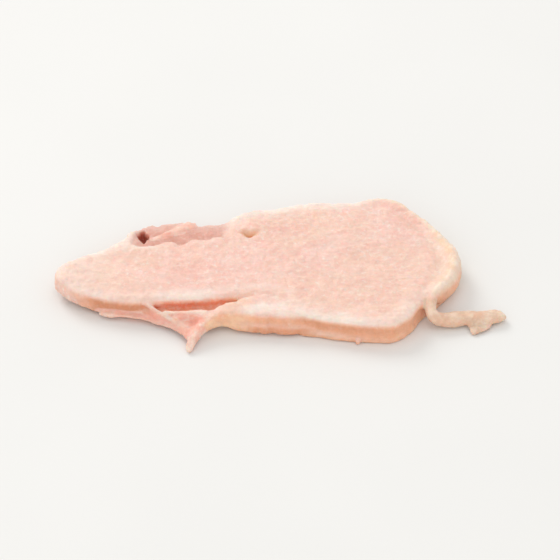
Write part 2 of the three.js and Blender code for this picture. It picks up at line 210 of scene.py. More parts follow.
def unit(vectors):
    """Vectors over their own lengths."""
    return vectors / np.maximum(np.linalg.norm(vectors, axis=-1, keepdims=True), 1e-12)


def smooth(low, high, value):
    """A smooth step: 0 below low, 1 above high, and 3t^2 - 2t^3 of the way between."""
    t = np.clip((value - low) / (high - low), 0, 1)
    return t * t * (3 - 2 * t)


def hill(distance, width):
    """A bell: e to the minus (distance / width) squared."""
    return np.exp(-((distance / width) ** 2))


def spline(stations, count, closed=False):
    """Evenly spaced points on a centripetal Catmull-Rom curve. Between two stations the curve is
    the Barry-Goldman blend of the four round them, with knots a root of the chord apart."""
    p = np.asarray(stations, float)
    before, after = (p[-1:], p[:2]) if closed else (2 * p[:1] - p[1:2], 2 * p[-1:] - p[-2:-1])
    run = np.concatenate([before, p, after])
    p0, p1, p2, p3 = run[:-3], run[1:-2], run[2:-1], run[3:]

    def gap(a, b):
        return np.sqrt(np.linalg.norm((b - a)[:, :3], axis=1))[:, None, None]

    t1 = gap(p0, p1)
    t2 = t1 + gap(p1, p2)
    t3 = t2 + gap(p2, p3)
    t = t1 + (t2 - t1) * np.linspace(0, 1, 33)[None, :-1, None]
    p0, p1, p2, p3 = (q[:, None, :] for q in (p0, p1, p2, p3))
    a1 = (t1 - t) / t1 * p0 + t / t1 * p1
    a2 = (t2 - t) / (t2 - t1) * p1 + (t - t1) / (t2 - t1) * p2
    a3 = (t3 - t) / (t3 - t2) * p2 + (t - t2) / (t3 - t2) * p3
    b1 = (t2 - t) / t2 * a1 + t / t2 * a2
    b2 = (t3 - t) / (t3 - t1) * a2 + (t - t1) / (t3 - t1) * a3
    c = ((t2 - t) / (t2 - t1) * b1 + (t - t1) / (t2 - t1) * b2).reshape(-1, p.shape[1])
    c = np.concatenate([c, c[:1] if closed else p[-1:]])
    along = np.concatenate([[0], np.cumsum(np.linalg.norm(np.diff(c[:, :3], axis=0), axis=1))])
    wanted = np.linspace(0, along[-1], count, endpoint=not closed)
    return np.stack([np.interp(wanted, along, column) for column in c.T], axis=1)


def cell_key(cells):
    """A place in the tables of random values for each cubic cell: its three indices, each times
    a large prime, mixed by exclusive or."""
    mixed = (cells[:, 0] * 73856093) ^ (cells[:, 1] * 19349663) ^ (cells[:, 2] * 83492791)
    return mixed & (TABLE - 1)


def lattice(points, cell, seed):
    """Smooth noise from -1 to 1: seeded random values on a cubic lattice of that cell size,
    blended between the eight corners by a quintic fade. points has one row a point."""
    q = points / cell
    base = np.floor(q).astype(np.int64)
    fade = q - base
    fade = fade**3 * (fade * (fade * 6 - 15) + 10)
    table = np.random.default_rng(seed).uniform(-1, 1, TABLE)
    total = 0
    for corner in np.ndindex(2, 2, 2):
        weight = np.prod(np.where(corner, fade, 1 - fade), axis=1)
        total = total + weight * table[cell_key(base + corner)]
    return total


def rough(points, cell, seed, octaves=3):
    """Lattice noise summed over octaves, each half the cell and half the height of the last."""
    return sum(lattice(points, cell / 2**n, seed + n) / 2**n for n in range(octaves))


def grains(points, cell, seed, presence, size):
    """Round grains from 0 to 1: one jittered point in each lattice cell, kept by a seeded draw,
    with a bell of its own radius round it. The highest of the 27 cells round a point is taken."""
    q = points / cell
    base = np.floor(q).astype(np.int64)
    draws = np.random.default_rng(seed).uniform(0, 1, (TABLE, 5))
    best = np.zeros(len(points))
    for step in np.ndindex(3, 3, 3):
        at = base + np.array(step) - 1
        draw = draws[cell_key(at)]
        gap = np.linalg.norm(q - at - draw[:, :3], axis=1)
        here = np.where(draw[:, 3] < presence, hill(gap, size * (0.45 + 0.55 * draw[:, 4])), 0)
        best = np.maximum(best, here)
    return best


def way_to(points, place):
    """The way in plan from each point to one place."""
    return np.hypot(points[:, 0] - place[0], points[:, 1] - place[1])


def distance_to(points, path, count=80):
    """Shortest way in plan from each point to a splined path of (x, y) points."""
    line = spline(path, count)
    return np.min(np.linalg.norm(points[:, None, :2] - line[None, :, :2], axis=2), axis=1)


def distance_in_space(points, stations):
    """Shortest way from each point to a band's middle line, in half widths of the band there."""
    line = spline(stations, 120)
    gaps = np.linalg.norm(points[:, None, :] - line[None, :, :3], axis=2)
    return np.min(gaps / (0.25 * (line[:, 3] + line[:, 4])), axis=1)


def base_height(x):
    """The underside: level, then up in a parabola towards the left tip."""
    return TIP_LIFT * (np.maximum(0, TIP_FROM - x) / (TIP_FROM - TIP_END)) ** 2


def ledge_at(x, y):
    """Where the torn ledge lies behind the left half: 0 off it, 1 once over its front line."""
    along = smooth(-20.5, -18.7, x) * (1 - smooth(-5.6, -3.4, x))
    front = LEDGE_FRONT + LEDGE_TURN * (x + 18)
    flat = np.stack([x.ravel(), y.ravel(), np.zeros(x.size)], axis=1)
    torn = 0.5 * rough(flat, 2.0, 11).reshape(x.shape)
    return along * smooth(0, 1.1, y - front + torn), along * smooth(1, 7, y - front)


def top_height(x, y):
    """The cut face: the thickness, slow waves, the raised lip and the dip inside it, the torn
    ledge behind the left half, the crescent pit and the bump behind it, and the thin tip."""
    flat = np.stack([x.ravel(), y.ravel()], axis=1)
    waves = np.sin(x / SWELL_LENGTH + 0.6) * np.cos(y / SWELL_LENGTH - 0.4)
    waves = waves + 0.5 * np.sin((x + 2 * y) / SWELL_LENGTH)
    to_lip = distance_to(flat, LIP).reshape(x.shape)
    at_end = smooth(*RIGHT_END, x)
    inset = GROOVE_INSET + GROOVE_INSET_ADDED * at_end
    groove = GROOVE_DEPTH * hill(to_lip - inset, GROOVE_WIDTH + GROOVE_WIDTH_ADDED * at_end)
    lip = (LIP_HEIGHT * hill(to_lip, LIP_WIDTH) - groove) * smooth(13, 23, x)
    step, slope = ledge_at(x, y)
    to_pit = distance_to(flat, PIT).reshape(x.shape)
    pit = (PIT_ENDS + PIT_DEPTH * hill(x - PIT_MIDDLE, 0.8)) * hill(to_pit, PIT_WIDTH)
    to_bump = np.hypot(x - BUMP_CENTRE[0], (y - BUMP_CENTRE[1]) / 1.1)
    bump = BUMP_HEIGHT * hill(to_bump, BUMP_RADIUS)
    thinning = TIP_THINNING * (1 - smooth(TIP_END, TIP_FROM, x))
    height = base_height(x) + THICKNESS + SWELL * waves + lip
    return height - LEDGE_STEP * step - LEDGE_SLOPE * slope - pit + bump - thinning


def flared(points):
    """The front wall's foot is drawn forward: by most from the strip's arch to the middle of the
    slice, less to the right of it, and by none above two thirds of the wall's height."""
    x, y, z = points[..., 0], points[..., 1], points[..., 2]
    along = 1 - 0.55 * smooth(5, 11, x) - 0.3 * smooth(11, 18, x)
    along = smooth(-6.0, -2.0, x) * along * smooth(26, 22, x)
    points[..., 1] -= FLARE * along * smooth(-9.0, -12.0, y) * smooth(2.7, 0.2, z)
    return points


def skin(rings, first, last):
    """A closed skin from rings of points: quads between neighbouring rings, and a fan from the
    first ring and the last one to its pole. Returns the points, the quads and the triangles."""
    rows, around = rings.shape[:2]
    points = np.concatenate([rings.reshape(-1, 3), [first, last]])
    index = np.arange(rows * around).reshape(rows, around)
    turned = np.roll(index, -1, axis=1)
    quads = np.stack([index[:-1], turned[:-1], turned[1:], index[1:]], axis=-1).reshape(-1, 4)
    pole = np.full(around, rows * around)
    start = np.stack([pole, turned[0], index[0]], axis=-1)
    end = np.stack([pole + 1, index[-1], turned[-1]], axis=-1)
    return points, quads, np.concatenate([start, end])


def slab():
    """The cut slab: rings of the outline shrink towards one middle point over the top face, go
    down over the rounded edge and the waisted wall, and shrink again under it."""
    around = 1000
    edge = spline(OUTLINE, around, closed=True)
    ahead = unit(np.roll(edge, -1, axis=0) - np.roll(edge, 1, axis=0))
    inward = np.stack([-ahead[:, 1], ahead[:, 0]], axis=1)
    flat = np.column_stack([edge, np.zeros(around)])
    back = smooth(6, 12, edge[:, 1]) * (1 - smooth(18, 21, edge[:, 0]))
    ledge = back * smooth(-3, -6, edge[:, 0])
    ragged = (0.1 + 0.16 * back + 0.35 * ledge) * rough(flat, 1.9, 21, 4)
    edge = edge + inward * (np.abs(ragged) + 0.04)[:, None]
    front = smooth(-2, -8, edge[:, 1])
    radius = EDGE_RADIUS + TIP_ROUNDING * smooth(-22, -30, edge[:, 0]) + FRONT_ROUNDING * front
    radius = radius + 0.12 * rough(flat, 5, 31, 2)

    grow = np.linspace(0, 1, 56)[1:]
    turn = np.linspace(0, math.pi / 2, 11)
    down = np.linspace(0, 1, 16)[1:-1]
    shrink = np.linspace(1, 0, 10)[1:-1]
    over, under = len(grow) + len(turn) - 1, len(turn)
    inset = np.concatenate([
        np.tile(EDGE_REACH * radius, (len(grow), 1)),
        np.outer(1 - np.sin(turn[1:]), EDGE_REACH * radius),
        np.outer(WALL_WAIST * np.sin(math.pi * down), smooth(-30, -20, edge[:, 0])),
        np.outer(BOTTOM_RADIUS * (1 - np.cos(turn)), np.ones(around)),
        np.full((len(shrink), around), BOTTOM_RADIUS),
    ])
    fall = np.concatenate([np.zeros((len(grow), around)), np.outer(1 - np.cos(turn[1:]), radius)])
    share = np.concatenate([grow, np.ones(len(turn) - 1 + len(down) + under), shrink])
    plan = edge[None] + inward[None] * inset[:, :, None]
    plan = MIDDLE + (plan - MIDDLE) * share[:, None, None]
    x, y = plan[..., 0], plan[..., 1]
    base, top = base_height(x), top_height(x, y)
    z = base.copy()
    z[:over] = top[:over] - fall
    walls = slice(over, over + len(down))
    upper = top[walls] - radius
    z[walls] = upper + (base[walls] + BOTTOM_RADIUS - upper) * down[:, None]
    z[walls.stop:walls.stop + under] += BOTTOM_RADIUS * (1 - np.sin(turn))[:, None]
    rings = flared(np.stack([x, y, z], axis=-1))
    middle = MIDDLE[:1], MIDDLE[1:]
    first = (*MIDDLE, float(top_height(*middle)[0]))
    last = (*MIDDLE, float(base_height(middle[0])[0]))
    points, quads, tris = skin(rings, first, last)
    return points, quads[:, ::-1], tris[:, ::-1]


def band(stations, along, around, seed, end, knobbly, ruffle=0.0, square=1.0):
    """A band: a section, level across and upright, carried along the stations. The section is an
    oval at square 1 and nearer a rounded box below it. Its two half widths and its height wander
    by noise, ruffle lifts its borders in slow waves, and it closes to a point over the end share
    of its length."""
    line = spline(stations, along)
    ahead = np.gradient(line[:, :3], axis=0)
    ahead[:, 2] = 0
    ahead = unit(ahead)
    side = np.stack([-ahead[:, 1], ahead[:, 0], np.zeros(along)], axis=1)
    share = np.linspace(0, 1, along)
    to_end = np.clip(np.minimum(share, 1 - share) / end, 0, 1)
    shrink = np.sqrt(1 - (1 - to_end) ** 2)
    angle = np.linspace(0, 2 * math.pi, around, endpoint=False)
    level = np.sign(np.cos(angle)) * np.abs(np.cos(angle)) ** square
    upright = np.sign(np.sin(angle)) * np.abs(np.sin(angle)) ** square
    mid = line[:, :3]
    left = 1 + knobbly * rough(mid, 1.6, seed)
    right = 1 + knobbly * rough(mid, 1.6, seed + 7)
    tall = 1 + knobbly * rough(mid, 1.9, seed + 13)
    half = np.where(level[None] > 0, left[:, None], right[:, None]) * (shrink * line[:, 3] / 2)[:, None]
    up = upright[None] * (shrink * tall * line[:, 4] / 2)[:, None]
    rings = mid[:, None] + side[:, None] * (level[None] * half)[..., None]
    rings[..., 2] += up
    if ruffle:
        flat = rings.reshape(-1, 3) * (1, 1, 0)
        rings[..., 2] += ruffle * (rough(flat, 2.2, seed + 17).reshape(up.shape) + 0.4)
    rings = flared(rings)
    return skin(rings[1:-1], rings[0, 0], rings[-1, 0])


def sheet(first, second, along, across, seed):
    """A thin skin stretched between two splined paths: straight across from one to the other,
    crumpled by noise along its normal, and closed by the same skin a thickness under it. Its
    start is tucked back into the slab."""
    a, b = spline(first, along)[:, :3], spline(second, along)[:, :3]
    share = np.linspace(0, 1, across)
    middle = a[:, None] + (b - a)[:, None] * share[None, :, None]
    middle[..., 1] += TUCK * smooth(TUCK_SHARE, 0.0, np.linspace(0, 1, along))[:, None]
    normal = unit(np.cross(np.gradient(middle, axis=0), np.gradient(middle, axis=1)))
    inside = np.sin(math.pi * share)[None]
    folds = SKIN_CRUMPLE * rough(middle.reshape(-1, 3) * (0.6, 1, 1), 1.5, seed).reshape(along, across)
    middle = middle + normal * (folds * inside)[..., None]
    half = normal * SKIN_THICKNESS / 2
    rings = np.concatenate([middle + half, (middle - half)[:, ::-1]], axis=1)
    return skin(rings, rings[0].mean(axis=0), rings[-1].mean(axis=0))


def plug():
    """An upright plug, longer from front to back, whose plan is drawn in to four soft corners. It
    stops above the table, so the hole keeps a thin floor."""
    angle = np.linspace(0, 2 * math.pi, 48, endpoint=False)
    reach = 1 + 0.16 * np.cos(4 * angle + 0.3) + 0.05 * np.sin(7 * angle)
    x = np.cos(angle) * reach * HOLE_HALF_WIDTH
    y = np.sin(angle) * reach * HOLE_HALF_LENGTH
    level = np.linspace(HOLE_FLOOR, HOLE_TOP, 11)[:, None]
    flare = 0.8 + 0.45 * smooth(1.5, 4.5, level)
    rings = np.stack([HOLE[0] + (x - 0.12 * y) * flare, HOLE[1] + y * flare, level + 0 * x], axis=-1)
    return skin(rings, (*HOLE, HOLE_FLOOR), (*HOLE, HOLE_TOP))


def merged(shapes):
    """Several skins as one set of points, quads and triangles."""
    starts = np.cumsum([0] + [len(points) for points, _, _ in shapes[:-1]])
    points = np.concatenate([shape[0] for shape in shapes])
    quads = np.concatenate([shape[1] + start for shape, start in zip(shapes, starts)])
    tris = np.concatenate([shape[2] + start for shape, start in zip(shapes, starts)])
    return points, quads, tris


def to_mesh(name, points, quads, tris):
    """A mesh from arrays of points, quads and triangles, smooth shaded."""
    mesh = bpy.data.meshes.new(name)
    mesh.vertices.add(len(points))
    mesh.vertices.foreach_set("co", np.ascontiguousarray(points, np.float32).ravel())
    corners = np.concatenate([quads.ravel(), tris.ravel()]).astype(np.int32)
    sizes = np.concatenate([np.full(len(quads), 4), np.full(len(tris), 3)])
    mesh.loops.add(len(corners))
    mesh.loops.foreach_set("vertex_index", corners)
    mesh.polygons.add(len(sizes))
    starts = np.concatenate([[0], np.cumsum(sizes)[:-1]]).astype(np.int32)
    mesh.polygons.foreach_set("loop_start", starts)
    mesh.polygons.foreach_set("use_smooth", np.ones(len(sizes), bool))
    mesh.update(calc_edges=True)
    mesh.validate()
    return mesh


def to_object(name, mesh):
    """An object at the origin that holds the mesh."""
    piece = bpy.data.objects.new(name, mesh)
    bpy.context.scene.collection.objects.link(piece)
    return piece


def discard(piece):
    """Removes an object and its mesh."""
    mesh = piece.data
    bpy.data.objects.remove(piece)
    bpy.data.meshes.remove(mesh)


def applied(piece):
    """The object's mesh with its modifiers applied. The object and its old mesh are removed."""
    graph = bpy.context.evaluated_depsgraph_get()
    mesh = bpy.data.meshes.new_from_object(piece.evaluated_get(graph))
    discard(piece)
    return mesh


def points_of(mesh):
    """The mesh's points and their normals, as arrays."""
    points = np.empty(len(mesh.vertices) * 3, np.float32)
    normals = np.empty(len(mesh.vertices) * 3, np.float32)
    mesh.vertices.foreach_get("co", points)
    mesh.vertex_normals.foreach_get("vector", normals)
    return points.reshape(-1, 3).astype(float), normals.reshape(-1, 3).astype(float)


def arrays_of(mesh):
    """The mesh's points, and its faces as triangles."""
    mesh.calc_loop_triangles()
    tris = np.empty(len(mesh.loop_triangles) * 3, np.int32)
    mesh.loop_triangles.foreach_get("vertices", tris)
    return points_of(mesh)[0], np.empty((0, 4), int), tris.reshape(-1, 3)


def fused(shapes, voxel):
    """Skins that overlap, made one skin of even squares with a side of about a voxel."""
    piece = to_object("fusing", to_mesh("fusing", *merged(shapes)))
    fuse = piece.modifiers.new("Fuse", "REMESH")
    fuse.mode = "VOXEL"
    fuse.voxel_size = voxel
    fuse.adaptivity = 0
    fuse.use_smooth_shade = True
    return applied(piece)


def cut(shape, cutter):
    """A skin with another cut out of it."""
    piece = to_object("cutting", to_mesh("cutting", *shape))
    tool = to_object("cutter", to_mesh("cutter", *cutter))
    hole = piece.modifiers.new("Hole", "BOOLEAN")
    hole.operation = "DIFFERENCE"
    hole.solver = "EXACT"
    hole.object = tool
    result = applied(piece)
    discard(tool)
    return arrays_of(result)


def fibre_phase(points):
    """Rings round the swirl's centre, long along the slice, that wander by noise: the muscle
    fibres run where this value stays the same."""
    across = np.hypot((points[:, 0] - SWIRL[0]) / SWIRL_STRETCH, points[:, 1] - SWIRL[1])
    return across + 0.9 * rough(points * (0.5, 1, 1), 5.0, 41, 3)


def closeness(points, bands, wander):
    """The most that any of the bands covers each point: its share within its reach, in half
    widths from its middle line, and 0 beyond."""
    most = np.zeros(len(points))
    for stations, reach, share in bands:
        near = distance_in_space(points, stations) + 0.2 * wander
        most = np.maximum(most, share * smooth(reach + 0.3, reach - 0.2, near))
    return most


def rim_mask(points, wander):
    """The cream rim: along the lip and wider round the right end, down its outer wall, and fading
    out over the cut face inside it."""
    x, _, z = points.T
    breadth = 0.3 + 0.9 * smooth(25, 30.5, x)
    to_lip = distance_to(points, LIP)
    along = smooth(breadth + 0.35, breadth - 0.35, to_lip + 0.25 * wander)
    outside = smooth(2.6, 1.6, to_lip) * smooth(3.6, 3.0, z) * smooth(24, 28, x)
    inside = 0.5 * smooth(4.2, 1.2, to_lip + wander) * smooth(25, 29, x)
    return np.maximum.reduce([along, outside, inside])


def band_masks(points, normals, wander):
    """The finishes that follow bands: the tan strand, the pink-white shreds with a paler line along
    the front wall's foot, the strip's cream end, and the thin skins with the thread that borders
    them."""
    x, y, z = points.T
    strand = closeness(points, ((RIM[10:], 1.3, 1), (FLAP, 1.4, 1)), wander)
    thread = closeness(points, ((THREAD, 1.7, 1),), wander)
    shreds = (
        (BRANCH, 1.8, 0.85), (CLEFT_LIP, 1.8, 0.85), (SHRED, 1.6, 0.8), (CRUMB, 1.4, 0.5),
        (STRIP[9:], 1.6, 1),
    )
    shred = closeness(points, shreds, wander)
    shred = np.maximum(shred, thread * (0.45 + 0.4 * smooth(-21, -23, x)))
    strip = closeness(points, ((STRIP[3:10], 1.4, 1),), wander) * smooth(1.0, -3.0, x) * (1 - shred)
    strip *= 1 - 0.6 * smooth(0.2, 0.8, normals[:, 2])
    # A paler pink line along the foot of the front wall, right of the middle
    foot = smooth(0.75, 0.3, z + 0.15 * wander) * smooth(-10.5, -12, y) * smooth(9, 16, x)
    shred = np.maximum(shred, 0.5 * foot * smooth(-0.5, 0.2, normals[:, 2]))
    web = closeness(points, ((WEB, 1.0, 1), (CLEFT_WEB, 1.0, 1)), wander)
    web = np.maximum(web * smooth(-18.6, -16.0, x + 0.6 * wander), thread)
    return strand, shred, strip, web


def wall_masks(points, normals, depth, wander):
    """The cut wall, where the skin stands upright under the cut face, and how tan it is: along the
    top of the front's right half and at the left. Low under the strip's arch both are laid on as
    painted shade: the wall colour on the underside there, and a browner tan."""
    x, y, _ = points.T
    wall = smooth(0.9, 0.25, normals[:, 2]) * smooth(0.2, 1.3, depth) * smooth(-30, -25, x + wander)
    # Less of the wall colour towards the back, where more light falls on the wall than at the front
    wall *= 1 - 0.25 * smooth(3, 9, y)
    # Painted shade: the wall colour spread onto the underside low under the strip's arch
    foot = smooth(1.7, 2.7, depth) * smooth(-10.5, -11.5, y) * smooth(-4, -1, x) * smooth(12, 8, x)
    wall = np.maximum(wall, foot * smooth(-0.7, -0.3, normals[:, 2]))
    slow = rough(points, 4.0, 52)
    right = (0.6 - 0.45 * smooth(14, 22, x)) * smooth(3.3, 1.6, depth) * smooth(4, 10, x + slow)
    right *= smooth(27, 24.5, x)
    left = smooth(4.4, 3.4, depth) * smooth(-29, -25, x + slow) * smooth(-15, -18, x)
    # Painted shade: a browner tan low on the wall under the strip's arch
    arch = 0.9 * smooth(1.4, 3.0, depth) * smooth(-4, 0, x) * smooth(12, 7, x + slow)
    return wall, wall * np.maximum.reduce([right, left, arch])


def margin_mask(points, facing_up, to_cleft, at_root, wander):
    """The whitish margin of the cut face, by the way to the outline: frost, and partly a painted
    highlight along the edge. It is weaker round the right end, at the left tip, along the front and
    beside the cleft, and all but gone at the strand's root and on the crumb. A painted highlight
    patch before the hole and a whitish stretch over the strip's top are added."""
    x, y, _ = points.T
    to_edge = distance_to(points, OUTLINE[:-2], 500)
    reach = 3.8 - 2.6 * smooth(16, 22, x) * smooth(-7, -3, y)
    margin = smooth(reach, 0.0, to_edge + 0.5 * wander)
    margin *= (1 - 0.4 * smooth(14, 20, x) * smooth(-6, -2, y)) * (1 - 0.4 * smooth(-25, -30, x))
    margin *= 1 - smooth(2, -4, y) * (0.6 * hill(x + 19, 7) + 0.4 * smooth(14, 20, x))
    margin *= 1 - 0.8 * at_root
    tip = 0.4 * smooth(-20, -29, x + 1.5 * wander)
    # A painted highlight: a whitish patch just in front of the hole
    to_patch = np.hypot((x - HOLE[0]) / 2.4, (y - HOLE[1] + 3.5) / 0.7)
    margin = np.maximum.reduce([margin, tip, 0.9 * hill(to_patch, 1.0)])
    # The strip's top is made whitish too: frost, and partly a painted highlight
    over_strip = closeness(points, ((STRIP[:6], 1.2, 1),), wander)
    over_strip *= smooth(-5, 0, x) * smooth(8, 1.5, x + wander)
    margin = np.maximum(margin * (1 - 0.8 * over_strip), 0.9 * over_strip) * facing_up
    margin *= 1 - 0.85 * smooth(2.6, 1.4, to_cleft) * smooth(-8, -4, x)
    return margin * (1 - closeness(points, ((CRUMB, 1.8, 0.9),), wander))


def masks(points, normals):
    """Where all the finishes lie, each from 0 to 1. To those above come the raw red cleft, darker
    with depth as painted shade, the hole's painted shade, the torn ledge, partly painted shadow,
    the stained pit and a patch of pores. The steps' limits are places and depths in the layout,
    and noise wanders their borders."""
    x, y, z = points.T
    wander = rough(points, 1.3, 51)
    facing_up = smooth(0.2, 0.8, normals[:, 2])
    depth = top_height(x, y) - z
    to_cleft = distance_to(points, CLEFT)
    at_root = hill(way_to(points, STRAND_ROOT), 2.0)
    strand, shred, strip, web = band_masks(points, normals, wander)
    wall, tan = wall_masks(points, normals, depth, wander)
    margin = margin_mask(points, facing_up, to_cleft, at_root, wander)
    fat = rim_mask(points, wander)
    fat *= 1 - 0.85 * wall * smooth(2.0, -2.5, y)
    fat *= 1 - 0.7 * at_root
    # The raw flesh's red, stronger deeper down, so the cleft darkens with depth as painted shade
    cleft = smooth(1.7, 1.1, to_cleft) * smooth(-17.2, -14.8, x + 0.5 * wander)
    cleft *= smooth(0.15, 1.3, depth + 0.2 * wander)
    cleft *= smooth(4.0, 0.0, x) * (1 - 0.6 * smooth(-7, -1, x))
    cleft *= 1 - np.maximum.reduce([shred, strand, web])
    # Painted shade: the hole's dark red, stronger with depth into it
    hole = smooth(1.7, 1.1, np.hypot(x - HOLE[0], (y - HOLE[1]) / 1.9)) * smooth(0.1, 0.9, depth)
    # The torn ledge, whose deeper pink is partly painted shadow
    ledge = ledge_at(x, y)[0] * smooth(-2.8, -7.0, x + 0.8 * wander - 0.6 * (y - 9))
    pit = hill(distance_to(points, PIT), 0.5) * hill(x - PIT_MIDDLE, 1.2)
    pores = grains(points, 1.7, 71, 0.6, 0.34) * hill(way_to(points, PORES), 4.5) * facing_up
    return {
        "fat": fat, "shred": shred, "strand": strand, "cleft": cleft, "hole": hole, "wall": wall,
        "margin": margin, "ledge": ledge, "pit": pit, "web": web, "strip": strip, "tan": tan,
        "pores": pores,
    }


def relief(points, normals, where, sizes):
    """How far each point of the skin moves out: fibre ridges and lumps on the cut face, broad and
    fine unevenness, streaks down the wall, grains of frost, knobs along the back edge and a patch
    of pores, all less on the underside."""
    up = smooth(-0.2, 0.6, normals[:, 2])
    phase = fibre_phase(points) + 0.2 * rough(points, 1.4, 61, 2)
    ridges = 1 - np.abs(np.sin(phase * math.pi / sizes.fibre_width * MM))
    ridges *= 0.4 + 0.6 * smooth(-0.3, 0.5, lattice(points, 4.0, 62))
    broad = rough(points, 3.2, 63, 3)
    streaks = rough(points * (1, 1, 0.35), 0.9, 64, 2)
    lumps = rough(points, 1.1, 68, 3)
    frost = grains(points, 0.5, 65, 0.75, 0.42)
    fine = rough(points, 0.7, 66, 2)
    pale = np.maximum(where["fat"], np.maximum(where["shred"], where["strand"]))
    out = -sizes.fibre_depth / MM * (1 - ridges) * up * (1 - pale)
    out = out + BROAD * broad + STREAKS * streaks * where["wall"] + FINE * fine + LUMPS * lumps * up
    out = out + sizes.frost_height / MM * frost * (0.35 + 0.65 * up)
    back = smooth(9.5, 12.5, points[:, 1]) * (1 - smooth(20, 24, points[:, 0])) * where["margin"]
    out = out + KNOBS * back * smooth(0.9, 0.6, normals[:, 2]) * grains(points, 1.5, 67, 0.6, 0.4)
    out = out - PORE_DEPTH * where["pores"]
    under = smooth(-0.35, -0.8, normals[:, 2]) * smooth(0.6, 0.15, points[:, 2])
    return out * (1 - 0.85 * under)


class Shader:
    """A material's node tree, with short calls that add a node and give its output."""

    def __init__(self, name):
        self.material = bpy.data.materials.new(name)
        self.material.use_nodes = True
        self.tree = self.material.node_tree
        self.tree.nodes.clear()
        self.place = self.add("ShaderNodeTexCoord").outputs["Object"]

    def add(self, kind, inputs=None, **settings):
        node = self.tree.nodes.new(kind)
        for key, value in settings.items():
            setattr(node, key, value)
        for key, value in (inputs or {}).items():
            socket = node.inputs[key]
            if isinstance(value, bpy.types.NodeSocket):
                self.tree.links.new(value, socket)
            else:
                socket.default_value = value
        return node

    def attribute(self, name):
        return self.add("ShaderNodeAttribute", attribute_name=name).outputs["Fac"]

    def noise(self, size, detail=3.0, roughness=0.55, stretch=None, distortion=0.0):
        """Noise from 0 to 1 whose blobs are about size metres across."""
        place = self.place
        if stretch:
            place = self.add("ShaderNodeMapping", {"Vector": place, "Scale": stretch}).outputs[0]
        values = {"Vector": place, "Scale": 1 / size, "Detail": detail, "Roughness": roughness}
        values["Distortion"] = distortion
        return self.add("ShaderNodeTexNoise", values, normalize=True).outputs["Fac"]

    def math(self, operation, a, b):
        return self.add("ShaderNodeMath", {0: a, 1: b}, operation=operation).outputs[0]

    def times(self, a, b):
        return self.math("MULTIPLY", a, b)

    def highest(self, a, b):
        return self.math("MAXIMUM", a, b)

    def ramp(self, value, low, high, to_low=0.0, to_high=1.0):
        """A smooth step of the value between low and high, laid out from to_low to to_high."""
        values = {"Value": value, "From Min": low, "From Max": high, "To Min": to_low, "To Max": to_high}
        return self.add("ShaderNodeMapRange", values, interpolation_type="SMOOTHSTEP").outputs["Result"]

    def mix(self, factor, a, b):
        """Colour a at factor 0, b at 1. Each is a socket or a plain colour."""
        node = self.add("ShaderNodeMix", {"Factor": factor}, data_type="RGBA")
        for socket, value in ((node.inputs[6], a), (node.inputs[7], b)):
            if isinstance(value, bpy.types.NodeSocket):
                self.tree.links.new(value, socket)
            else:
                socket.default_value = (*value[:3], 1.0)
        return node.outputs[2]

    def scaled(self, colour, factor):
        values = {0: colour, "Scale": factor}
        return self.add("ShaderNodeVectorMath", values, operation="SCALE").outputs[0]

    def bump(self, height, distance, strength):
        values = {"Height": height, "Distance": distance, "Strength": strength}
        return self.add("ShaderNodeBump", values).outputs["Normal"]

    def finish(self, values):
        shader = self.add("ShaderNodeBsdfPrincipled", values)
        self.add("ShaderNodeOutputMaterial", {"Surface": shader.outputs[0]})
        return self.material


